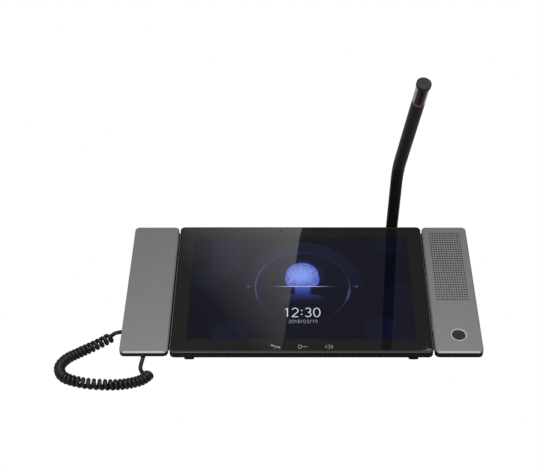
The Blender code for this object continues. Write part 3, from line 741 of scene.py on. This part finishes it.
def tablet_glass():
    """One sheet of glass: an inked border, the lit panel and two windows for the sensors."""
    bm = bmesh.new()
    box = inset(TABLET_BOX, GLASS_INSET)
    rings = rim_rings(bm, box, CORNER - GLASS_INSET, [(0.0, -1.2), (0.0, -0.28), (0.08, -0.08), (0.28, 0.0)])
    bridge(bm, rings)
    bm.faces.new(list(reversed(rings[0])))
    steps = len(rings[-1]) // 4
    panel = [bm.verts.new((x, y, 0.0)) for x, y in rounded_outline(SCREEN, 0.4, steps - 1)]
    bridge(bm, [rings[-1], panel])
    bm.faces.new(panel).material_index = 1
    finish_piece("touch_glass", bm, [INK, SCREEN_LIT], "phone", ("cover_glass",), smooth=25)
    for name, side in (("left", -1), ("right", 1)):
        dot = bmesh.new()
        turned(dot, [(1.25, 0.012), (1.25, 0.02), (0.95, 0.02), (0.0, 0.02)], 24, at=(20.1 * side, 160.2))
        finish_piece(f"sensor_window_{name}", dot, [SENSOR_BLACK], "phone")


# Drawing on the screen ----------------------------------------------------------------------------

def ribbon(bm, points, width, z, closed=False):
    """A flat stroke of even width along flat points."""
    line = [Vector(p) for p in points]
    count = len(line)
    pairs = []
    for i, point in enumerate(line):
        before = line[(i - 1) % count] if closed or i else line[i]
        after = line[(i + 1) % count] if closed or i < count - 1 else line[i]
        ahead = (after - before).normalized()
        side = Vector((-ahead.y, ahead.x)) * width / 2
        pairs.append((bm.verts.new((*(point - side), z)), bm.verts.new((*(point + side), z))))
    for i in range(count if closed else count - 1):
        a, b = pairs[i], pairs[(i + 1) % count]
        bm.faces.new((a[0], b[0], b[1], a[1]))


def tapered_arc(bm, centre, radius, start, end, widths, z, steps=48):
    """An arc whose width runs through the values given."""
    inner, outer = [], []
    for i in range(steps + 1):
        part = i / steps * (len(widths) - 1)
        k = min(int(part), len(widths) - 2)
        width = widths[k] + (widths[k + 1] - widths[k]) * (part - k)
        turn = math.radians(start + (end - start) * i / steps)
        direction = Vector((math.cos(turn), math.sin(turn)))
        inner.append(bm.verts.new((*(Vector(centre) + direction * (radius - width / 2)), z)))
        outer.append(bm.verts.new((*(Vector(centre) + direction * (radius + width / 2)), z)))
    for i in range(steps):
        bm.faces.new((inner[i], outer[i], outer[i + 1], inner[i + 1]))


# Strokes of each sign, in a box one wide and one high.
SIGNS = {
    "0": [oval((0.5, 0.5), (0.46, 0.5), 0, 360, 32)],
    "1": [[(0.14, 0.80), (0.52, 0.98)], [(0.52, 1.0), (0.52, 0.0)]],
    "2": [oval((0.5, 0.70), (0.42, 0.30), 165, -30) + [(0.08, 0.03)], [(0.04, 0.0), (0.94, 0.0)]],
    "3": [oval((0.47, 0.755), (0.38, 0.245), 150, -90), oval((0.47, 0.26), (0.43, 0.26), 90, -150)],
    "8": [oval((0.5, 0.76), (0.36, 0.24), 0, 360, 24), oval((0.5, 0.27), (0.42, 0.27), 0, 360, 24)],
    "9": [oval((0.5, 0.68), (0.42, 0.32), 0, 360, 24),
          [(0.92, 0.68), (0.86, 0.34), (0.62, 0.06), (0.34, 0.0)]],
    "/": [[(0.10, -0.08), (0.80, 1.06)]],
    ":": [[(0.5, 0.22), (0.5, 0.33)], [(0.5, 0.67), (0.5, 0.78)]],
}


def write_numbers(bm, signs, box, stroke, z):
    """Numbers set in a box, each given a share of its width."""
    shares = [{":": 0.5, "/": 0.8, "1": 0.8}.get(sign, 1.0) for sign in signs]
    pitch = (box[2] - box[0]) / sum(shares)
    x = box[0]
    for sign, share in zip(signs, shares):
        room = pitch * share
        for line in SIGNS[sign]:
            points = [(x + room * (0.10 + 0.80 * px), box[1] + (box[3] - box[1]) * py) for px, py in line]
            width = stroke * 1.5 if sign == ":" else stroke
            ribbon(bm, points, width, z)
        x += room


def lit_piece(name, bm, paint, glow, strength, ground=(0.004, 0.004, 0.006)):
    finish_piece(name, bm, [lit(paint, ground, glow, strength)], "phone")


def screen_drawing():
    centre = HALO_CENTRE
    bm = bmesh.new()
    tapered_arc(bm, centre, 46.2, 113, 200, [0.3, 0.8, 1.3, 1.5, 1.3], 0.03, 60)
    tapered_arc(bm, centre, 46.2, 200, 231, [0.5, 0.35, 0.2], 0.03, 24)
    tapered_arc(bm, centre, 46.2, 18, -4, [0.4, 0.7, 1.0], 0.03, 20)
    tapered_arc(bm, centre, 46.2, -4, -22, [2.3, 2.8, 2.3], 0.03, 20)
    tapered_arc(bm, centre, 46.2, -22, -50, [0.5, 0.35, 0.2], 0.03, 24)
    for side, x in ((1, -50.4), (-1, 53.4)):
        corners = [(x - 2.3 * side, 80.9), (x + 2.0 * side, 82.8), (x - 2.3 * side, 84.7)]
        bm.faces.new([bm.verts.new((*p, 0.03)) for p in corners])
    lit_piece("screen_marks", bm, "marks_lit", (0.042, 0.048, 0.18), 0.9)
    bm = bmesh.new()
    tapered_arc(bm, centre, 46.2, 108, 22, [0.35, 0.35], 0.02, 48)
    tapered_arc(bm, centre, 59.0, 118, 62, [0.3, 0.3], 0.02, 24)
    lit_piece("screen_thin_lines", bm, "thin_lines_lit", (0.028, 0.030, 0.085), 1.0)
    orb()
    bm = bmesh.new()
    outline = [(-36.5, 0.0), (-14, 0.38), (14, 0.38), (36.5, 0.0), (14, -0.38), (-14, -0.38)]
    bm.faces.new([bm.verts.new((x, y, 0.0)) for x, y in outline])
    place = SLAB @ Matrix.Translation(Vector((*HALO_CENTRE, 0.05)) * MM)
    finish_piece("scan_line", bm, [scan_line_material()], "phone", matrix=place)
    bm = bmesh.new()
    write_numbers(bm, "12:30", (-16.6, 43.6, 19.2, 54.6), 0.95, 0.04)
    lit_piece("clock_numbers", bm, "clock_lit", (0.72, 0.74, 0.92), 0.95)
    bm = bmesh.new()
    write_numbers(bm, "2018/03/19", (-12.3, 35.7, 15.8, 39.6), 0.45, 0.04)
    lit_piece("date_numbers", bm, "date_lit", (0.30, 0.31, 0.40), 0.9)
    touch_keys()


def orb():
    """The ball above the bust, with a small swelling on each side."""
    bm = bmesh.new()
    dome = oval((0.0, 0.0), (16.2, 16.6), 0, 180, 48)
    left_side = [(-16.6, -1.5), (-17.0, -5.0), (-16.6, -9.5), (-15.4, -12.0), (-12.4, -15.3)]
    right_side = [(-x, y) for x, y in reversed(left_side)]
    outline = [bm.verts.new((x, y, 0.0)) for x, y in dome + left_side + right_side]
    bm.faces.new(outline)
    place = SLAB @ Matrix.Translation(Vector((1.3, 98.2, 0.03)) * MM)
    finish_piece("screen_orb", bm, [orb_material()], "phone", matrix=place)


def touch_keys():
    """Three printed touch keys under the screen: receiver, key and loudspeaker, their print given a painted
    glow.
    """
    bm = bmesh.new()
    z = 0.03
    ribbon(bm, [(-28.6, 8.6), (-26.6, 7.8)], 1.5, z)
    ribbon(bm, [(-27.6, 8.0), (-24.4, 7.1), (-21.2, 5.9)], 0.9, z)
    ribbon(bm, [(-21.8, 6.3), (-19.9, 5.3)], 1.5, z)
    ribbon(bm, [(-25.6, 5.2), (-23.2, 4.9)], 0.35, z)
    ribbon(bm, oval((-1.4, 6.6), (1.5, 2.3), 0, 360, 24), 0.5, z)
    ribbon(bm, [(0.1, 6.6), (5.6, 6.6)], 0.6, z)
    box = [(22.6, 5.4), (23.9, 5.4), (26.0, 3.9), (26.0, 9.3), (23.9, 7.8), (22.6, 7.8)]
    ribbon(bm, box, 0.45, z, closed=True)
    ribbon(bm, oval((26.2, 6.6), (1.6, 1.9), 50, -50, 10), 0.4, z)
    ribbon(bm, oval((26.4, 6.6), (2.8, 3.0), 50, -50, 12), 0.4, z)
    # painted light: the printed icons glow instead of having a light print colour
    lit_piece("touch_keys", bm, "keys_painted_glow", grey(0.40), 0.8, grey(0.02))


# Handset ---------------------------------------------------------------------------------------------

HANDSET_BOX = (-WING_OUT, 0.0, -WING_IN, LENGTH)
WING_BOX = (WING_IN, 0.0, WING_OUT, LENGTH)
LID_UNDERSIDE = -1.45
EAR_START, EAR_DEPTH, EAR_TURN = 133.3, 4.8, 3.2
WING_SKIRT_LOW, WING_SKIRT_END = -6.2, 5.0


def metal_cover(bm, box):
    """A metal lid whose bevel all round its top edge gets a lighter, brighter metal: a painted highlight."""
    bands = plate(bm, box, CORNER, edge_curve(-1.5, 0.0, 0.12, BEVEL, 2), 12)
    for band in bands[-3:-1]:
        for face in band:
            face.material_index = 1


def skirt_wall(bm, points, inward, lows, thick, shade=0):
    """A wall that hangs below a lid along a line of points, its lower edge bevelled."""
    top = LID_UNDERSIDE
    rows = []
    for (x, y), (nx, ny), low in zip(points, inward, lows):
        soft = min(0.45, (top - low) * 0.45)
        section = ((0.0, top), (0.0, low + soft), (soft, low), (thick, low), (thick, top))
        rows.append([bm.verts.new((x + nx * depth, y + ny * depth, z)) for depth, z in section])
    for a, b in zip(rows, rows[1:]):
        for k in range(5):
            face = bm.faces.new((a[k], b[k], b[(k + 1) % 5], a[(k + 1) % 5]))
            # material 1 on the bevel: both lids give it the painted-highlight edge
            face.material_index = 1 if k == 1 else shade
    bm.faces.new(rows[0])
    bm.faces.new(list(reversed(rows[-1])))


def ear_skirt(bm):
    """The skirt round the handset's far end, its two front ends rounded off."""
    x0, _, x1, y1 = HANDSET_BOX
    points, inward, lows = [], [], []
    for i in range(9):
        turn = math.pi / 2 * i / 8
        points.append((x1, EAR_START + EAR_TURN * (1 - math.cos(turn))))
        inward.append((-1.0, 0.0))
        lows.append(-1.5 - (EAR_DEPTH - 1.5) * math.sin(turn))
    for x, y in arc((x1 - CORNER, y1 - CORNER), CORNER, 0, 90, 10):
        points.append((x, y))
        inward.append(((x1 - CORNER - x) / CORNER, (y1 - CORNER - y) / CORNER))
        lows.append(-EAR_DEPTH)
    other_side = [(x0 + x1 - x, y) for x, y in reversed(points)]
    turned_in = [(-nx, ny) for nx, ny in reversed(inward)]
    skirt_wall(bm, points + other_side, inward + turned_in, lows + lows[::-1], 1.2, shade=2)


def handset():
    bm = bmesh.new()
    metal_cover(bm, HANDSET_BOX)
    ear_skirt(bm)
    # lid grey, the painted-highlight bevels and the ear skirt's painted-light grey
    finish_piece("handset_lid", bm, [ANODISED, PAINTED_HIGHLIGHT_EDGE, PAINTED_LIGHT_SKIRT], "handset",
                 ("handset_cover",), smooth=25)


# Loudspeaker wing -----------------------------------------------------------------------------------

def add_cylinder(bm, matrix, radius, depth, segments):
    bmesh.ops.create_cone(bm, cap_ends=True, segments=segments, radius1=radius, radius2=radius, depth=depth,
                          matrix=matrix)


def hole_cutter():
    bm = bmesh.new()
    for i in range(GRILLE_COLUMNS):
        x = GRILLE[0] + (GRILLE[2] - GRILLE[0]) * i / (GRILLE_COLUMNS - 1)
        for j in range(GRILLE_ROWS):
            y = GRILLE[1] + (GRILLE[3] - GRILLE[1]) * j / (GRILLE_ROWS - 1)
            add_cylinder(bm, Matrix.Translation((x, y, -0.7)), HOLE_RADIUS, 2.4, 12)
    add_cylinder(bm, Matrix.Translation((*BUTTON, -0.8)), RING_RADIUS + 0.1, 4.0, 64)
    return bm


def boolean(target, bm, wall=None):
    """Cuts a mesh drawn in the target's own millimetres from it, with its own shade on the cut's walls."""
    bm.transform(Matrix.Scale(MM, 4))
    cutter = add_object("cutter", bm)
    if wall:
        cutter.data.materials.append(wall)
    cutter.matrix_world = target.matrix_world
    step = target.modifiers.new("cut", "BOOLEAN")
    step.operation = "DIFFERENCE"
    step.material_mode = "TRANSFER" if wall else "INDEX"
    step.object = cutter
    bpy.context.view_layer.update()
    graph = bpy.context.evaluated_depsgraph_get()
    result = bpy.data.meshes.new_from_object(target.evaluated_get(graph))
    target.modifiers.clear()
    spent = (target.data, cutter.data)
    target.data = result
    bpy.data.objects.remove(cutter)
    for data in spent:
        bpy.data.meshes.remove(data)


def speaker_wing():
    bm = bmesh.new()
    metal_cover(bm, WING_BOX)
    lid = finish_piece("speaker_lid", bm, [ANODISED, PAINTED_HIGHLIGHT_EDGE], None, ("speaker_cover",))
    # the hole walls get painted shade
    boolean(lid, hole_cutter(), HOLE_WALL_SHADE)
    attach(lid, "phone")
    bm = bmesh.new()
    ends = [(WING_IN, WING_SKIRT_END), (WING_IN, LENGTH - WING_SKIRT_END)]
    skirt_wall(bm, ends, [(1.0, 0.0)] * 2, [WING_SKIRT_LOW] * 2, 1.3)
    # the skirt's painted-light grey and its painted-highlight bevel
    skirt = finish_piece("speaker_skirt", bm, [PAINTED_LIGHT_SKIRT, PAINTED_HIGHLIGHT_EDGE], None)
    slot = bmesh.new()
    low, high = SIDE_SLOT
    bmesh.ops.create_cube(slot, size=1.0, matrix=Matrix.Translation((WING_IN, (low + high) / 2, -3.6))
                          @ Matrix.Diagonal((4.0, high - low, 1.6, 1.0)))
    boolean(skirt, slot)
    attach(skirt, "phone")
    call_button()


def call_button():
    place = SLAB @ Matrix.Translation(Vector((*BUTTON, 0.0)) * MM)
    ring = [(RING_RADIUS, -2.4), (RING_RADIUS, -0.25), (RING_RADIUS - 0.12, 0.0), (RING_RADIUS - 0.5, 0.02),
            (BUTTON_RADIUS + 0.34, -0.95), (BUTTON_RADIUS + 0.3, -2.4)]
    turned_piece("key_ring", ring, 64, CHROME, "phone", ("button_ring",), place, 30,
                 closed=True)
    cap = [(0.0, -3.3), (1.6, -3.3), (1.6, -3.0), (BUTTON_RADIUS, -3.0), (BUTTON_RADIUS, -1.0),
           (BUTTON_RADIUS - 0.08, -0.75), (BUTTON_RADIUS - 0.35, -0.62), (BUTTON_RADIUS - 1.5, -0.66),
           (0.0, -0.72)]
    turned_piece("call_key", cap, 64, KEY_BLACK, "button", ("call_button",), place, 30)


# Microphone ------------------------------------------------------------------------------------------

BEND_REACH = 15.0
STEM_START = 24.4
GREY_LINE_LENGTH, RING_LENGTH = 0.9, 1.5
SLEEVE_START, SLEEVE_STOP = 1.8, 4.0
CAP_LENGTH = 3.7


def along_head(distance):
    return MIC_PIVOT + UPPER * distance


def microphone():
    tip_run = (MIC_TIP - MIC_PIVOT).length
    light = tip_run - HEAD_LENGTH
    path = []
    start = MIC_FOOT + LOWER * STEM_START
    lower_end = MIC_PIVOT - LOWER * BEND_REACH
    for i in range(8):
        path.append(start.lerp(lower_end, i / 8))
    upper_start = along_head(BEND_REACH)
    for i in range(25):
        t = i / 24
        a = lower_end.lerp(MIC_PIVOT, t)
        b = MIC_PIVOT.lerp(upper_start, t)
        path.append(a.lerp(b, t))
    for i in range(1, 9):
        path.append(upper_start.lerp(along_head(light - GREY_LINE_LENGTH), i / 8))
    count = len(path) - 1
    radii = [STEM_FOOT_RADIUS + (STEM_TOP_RADIUS - STEM_FOOT_RADIUS) * i / count for i in range(count + 1)]
    bm = bmesh.new()
    sweep(bm, path, radii, 40)
    stem = finish_piece("mic_stem", bm, [STEM], None,
                        ("mic_stem_lower", "mic_neck_link", "mic_stem_upper"), WORLD, smooth=40)
    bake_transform(stem)

    top = STEM_TOP_RADIUS
    low = light - GREY_LINE_LENGTH
    line = [(0.0, low), (top, low), (top, light), (0.0, light)]
    turned_piece("mic_grey_line", line, 40, GREY_LINE, "mic_upper", (), HEAD_MATRIX)
    high = light + RING_LENGTH
    ring = [(0.0, light + 0.02), (top - 0.05, light + 0.02), (top, light + 0.2), (top, high - 0.2),
            (top - 0.1, high), (0.0, high)]
    turned_piece("mic_red_ring", ring, 40, RED_LIGHT, "mic_upper", ("mic_light_ring",),
                 HEAD_MATRIX)
    low, high = light + SLEEVE_START, tip_run - SLEEVE_STOP
    sleeve = [(top, low), (top, high), (top - 1.2, high), (top - 1.2, low)]
    turned_piece("mic_smoked_sleeve", sleeve, 40, SMOKED, "mic_upper",
                 ("mic_clear_sleeve",), HEAD_MATRIX, closed=True)
    core = [(0.0, low), (4.6, low), (4.6, high), (0.0, high)]
    turned_piece("mic_core", core, 32, MIC_CORE, "mic_upper", ("mic_capsule",), HEAD_MATRIX)
    mic_cap(tip_run)
    mic_socket()


def mic_cap(tip_run):
    low = tip_run - CAP_LENGTH
    profile = [(0.0, low), (6.85, low), (7.05, low + 0.2), (7.05, tip_run - 0.5), (6.9, tip_run - 0.15),
               (6.5, tip_run), (6.0, tip_run), (5.8, tip_run - 0.25), (0.0, tip_run - 0.25)]
    cap = turned_piece("mic_end_cap", profile, 48, CAP_BLACK, None, ("mic_cap",), HEAD_MATRIX,
                       30)
    dots = bmesh.new()
    for i in (-1, 0, 1):
        place = Matrix.Rotation(HEAD_TURN, 4, "Z") @ Matrix.Translation((2.1 * i, 0.4, tip_run))
        add_cylinder(dots, place, 0.6, 1.6, 16)
    # the dots' walls get painted shade
    boolean(cap, dots, HOLE_WALL_SHADE)
    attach(cap, "mic_upper")


def mic_socket():
    profile = [(6.4, 23.9), (10.6, 23.9), (10.6, 26.0), (10.3, 27.4), (9.2, 33.2), (8.7, 34.2),
               (8.1, 34.6), (6.8, 34.6), (6.45, 34.3)]
    turned_piece("mic_collar", profile, 48, BLACK_SATIN, "phone", ("mic_socket",),
                 FOOT_MATRIX, 30, closed=True)


# Materials of single pieces -----------------------------------------------------------------------

CLEAR_PLUG = clear_plastic("clear_plug", (0.85, 0.87, 0.88))
SMOKED = smoked_plastic()
# painted shade: near-black on the walls of the grille holes and the cap's dots, darker than the metal and cap
# around them
HOLE_WALL_SHADE = textured("hole_wall_painted_shade", grey(0.004), 0.6, grain=2.0, bump=0.1, gloss=0.2)
# painted light: the skirts are the lid's own metal, given this lighter plain grey so their sides read bright
# though they get little light
PAINTED_LIGHT_SKIRT = textured("skirt_grey_painted_light", grey(0.55), 0.5, grain=4.0, bump=0.1, spread=0.05, shade=0.05)
CAP_BLACK = textured("cap_black", (0.022, 0.022, 0.023), 0.5, grain=2.0, bump=0.15, spread=0.06, gloss=0.3)
# painted highlight: a lighter, metallic copy of the black frame, for its front chamfer
FRAME_EDGE_HIGHLIGHT = textured("frame_edge_painted_highlight", grey(0.10), 0.30, 0.4, grain=3.0, bump=0.03, spread=0.04, shade=0.05)
SENSOR_BLACK = textured("sensor_black", grey(0.002), 0.12, grain=2.0, bump=0.0, spread=0.01)
KEY_BLACK = textured("key_black", grey(0.006), 0.34, grain=4.0, bump=0.10, spread=0.05, gloss=0.3)
MIC_CORE = textured("mic_core", grey(0.03), 0.5, grain=1.5, bump=0.2)
GREY_LINE = textured("grey_line", grey(0.10), 0.4, grain=2.0, bump=0.05)
RED_LIGHT = lit("red_light_lit", (0.06, 0.012, 0.016), (0.13, 0.008, 0.013), 1.0, 0.3)


# CAD nodes that stay --------------------------------------------------------------------------------

KEPT = {
    "stand_plastic": DARK_PLASTIC,
    "black_shell": BLACK_SATIN,
    "rubber": RUBBER,
    "steel": STEEL,
    "circuit_board": BOARD,
    "speaker_paper": CLOTH,
    "display": DARK_PLASTIC,
}


def dress_cad_nodes():
    """Better materials and softened edges on the CAD nodes that stay."""
    slots = {entry["node"]: entry["material_slot"] for entry in frame["record"]["subparts"]}
    for name, node in NODES.items():
        shade = KEPT.get(slots[name])
        if shade is None:
            continue
        for slot in node.material_slots:
            slot.material = shade
        soft = node.modifiers.new("soft_edges", "BEVEL")
        soft.width = 0.35 * MM
        soft.segments = 2
        soft.limit_method = "ANGLE"
        soft.angle_limit = math.radians(50)


# Studio ---------------------------------------------------------------------------------------------

FLOOR_SHADE = 0.30
FLOOR_DROP = 0.0002
ROOM_SHADE = 0.16


def area_light(name, place, look_at, size, power, glossy=True):
    data = bpy.data.lights.new(name, "AREA")
    data.shape = "RECTANGLE"
    data.size, data.size_y = size
    data.energy = power
    made = bpy.data.objects.new(name, data)
    bpy.context.scene.collection.objects.link(made)
    made.location = place
    made.rotation_euler = (Vector(look_at) - Vector(place)).to_track_quat("-Z", "Y").to_euler()
    made.visible_camera = False
    made.visible_glossy = glossy


def studio():
    bm = bmesh.new()
    bmesh.ops.create_grid(bm, x_segments=1, y_segments=1, size=12.0)
    floor = add_object("floor", bm)
    floor.location.z = -FLOOR_DROP
    floor.visible_camera = False
    floor.visible_transmission = False
    floor.data.materials.append(principled("floor_grey", grey(FLOOR_SHADE), 0.9)[0])

    world = bpy.data.worlds.new("studio")
    world.use_nodes = True
    bpy.context.scene.world = world
    tree = world.node_tree
    back = tree.nodes["Background"]
    path = tree.nodes.new("ShaderNodeLightPath")
    seen = Field(tree, path.outputs["Is Camera Ray"]).bigger(Field(tree, path.outputs["Is Transmission Ray"]))
    tree.links.new(blended(tree, grey(ROOM_SHADE), grey(1.0), seen), back.inputs["Color"])
    back.inputs["Strength"].default_value = 1.0

    area_light("overhead", (0.12, -0.3, 2.2), (0.0, 0.0, 0.0), (2.4, 2.4), 43.0)
    area_light("key", (-0.32, -0.38, 0.32), (-0.15, -0.06, 0.0), (0.25, 0.25), 1.5, glossy=False)
    sheen_card()
    front_card()
    stem_shade()
    bpy.context.scene.view_settings.view_transform = "Standard"


def mirrored(u, v, far):
    """The point that the glass shows at (u, v), this far along the reflected line of sight."""
    eye = bpy.context.scene.camera.location
    normal = (SLAB.to_3x3() @ UP).normalized()
    point = SLAB @ (Vector((u, v, 0.0)) * MM)
    ray = (point - eye).normalized()
    return point + (ray - normal * 2 * ray.dot(normal)) * far


def card(name, corners, marks):
    """A card that only mirror-like surfaces see; `marks` are the surface coordinates of its corners."""
    bm = bmesh.new()
    face = bm.faces.new([bm.verts.new(p) for p in corners])
    layer = bm.loops.layers.uv.new("marks")
    for loop, value in zip(face.loops, marks):
        loop[layer].uv = value
    made = add_object(name, bm)
    paint = bpy.data.materials.new(name)
    paint.use_nodes = True
    tree = paint.node_tree
    tree.nodes.clear()
    out = tree.nodes.new("ShaderNodeOutputMaterial")
    glow = tree.nodes.new("ShaderNodeEmission")
    tree.links.new(glow.outputs["Emission"], out.inputs["Surface"])
    made.data.materials.append(paint)
    made.visible_camera = False
    made.visible_diffuse = False
    made.visible_transmission = False
    made.visible_shadow = False
    return tree, glow


def sheen_card():
    """A graded white card whose mirror image lies across the left half of the glass."""
    marks = ((-20.1, -15.0), (2.4, 180.0), (-135.0, 190.0), (-150.0, -30.0))
    tree, glow = card("sheen_card", [mirrored(u, v, 1.6) for u, v in marks], marks)
    source = tree.nodes.new("ShaderNodeUVMap")
    source.uv_map = "marks"
    u, v, _ = split_axes(tree, source.outputs["UV"])
    strength = ((u + 30.0) * 0.011 + v * 0.0071 + 0.20).bigger(0.0) + ROOM_SHADE
    tree.links.new(strength.socket, glow.inputs["Strength"])


def front_card():
    """A bright card low in front, for the bevels along the front edges to mirror."""
    middle, half_width, half_height = Vector((0.0, -2.6, 1.3)), 1.6, 0.45
    tall = Vector((0.0, 0.45, 0.89)) * half_height
    wide = Vector((half_width, 0.0, 0.0))
    corners = (middle - wide - tall, middle + wide - tall, middle + wide + tall, middle - wide + tall)
    _, glow = card("front_card", corners, ((0.0, 0.0), (1.0, 0.0), (1.0, 1.0), (0.0, 1.0)))
    glow.inputs["Strength"].default_value = 0.75


def stem_shade():
    """A black strip that mirror-like surfaces see instead of the microphone: a straight dark band."""
    marks = ((74.2, -2.0), (83.6, -2.0), (100.2, 168.0), (88.9, 168.0))
    _, glow = card("stem_shade", [mirrored(u, v, 0.35) for u, v in marks], marks)
    glow.inputs["Strength"].default_value = 0.0
    for obj in bpy.context.scene.objects:
        if obj.name.startswith("mic_"):
            obj.visible_glossy = False


camera()
tablet_frame()
tablet_glass()
screen_drawing()
handset()
cord()
speaker_wing()
microphone()
dress_cad_nodes()
studio()
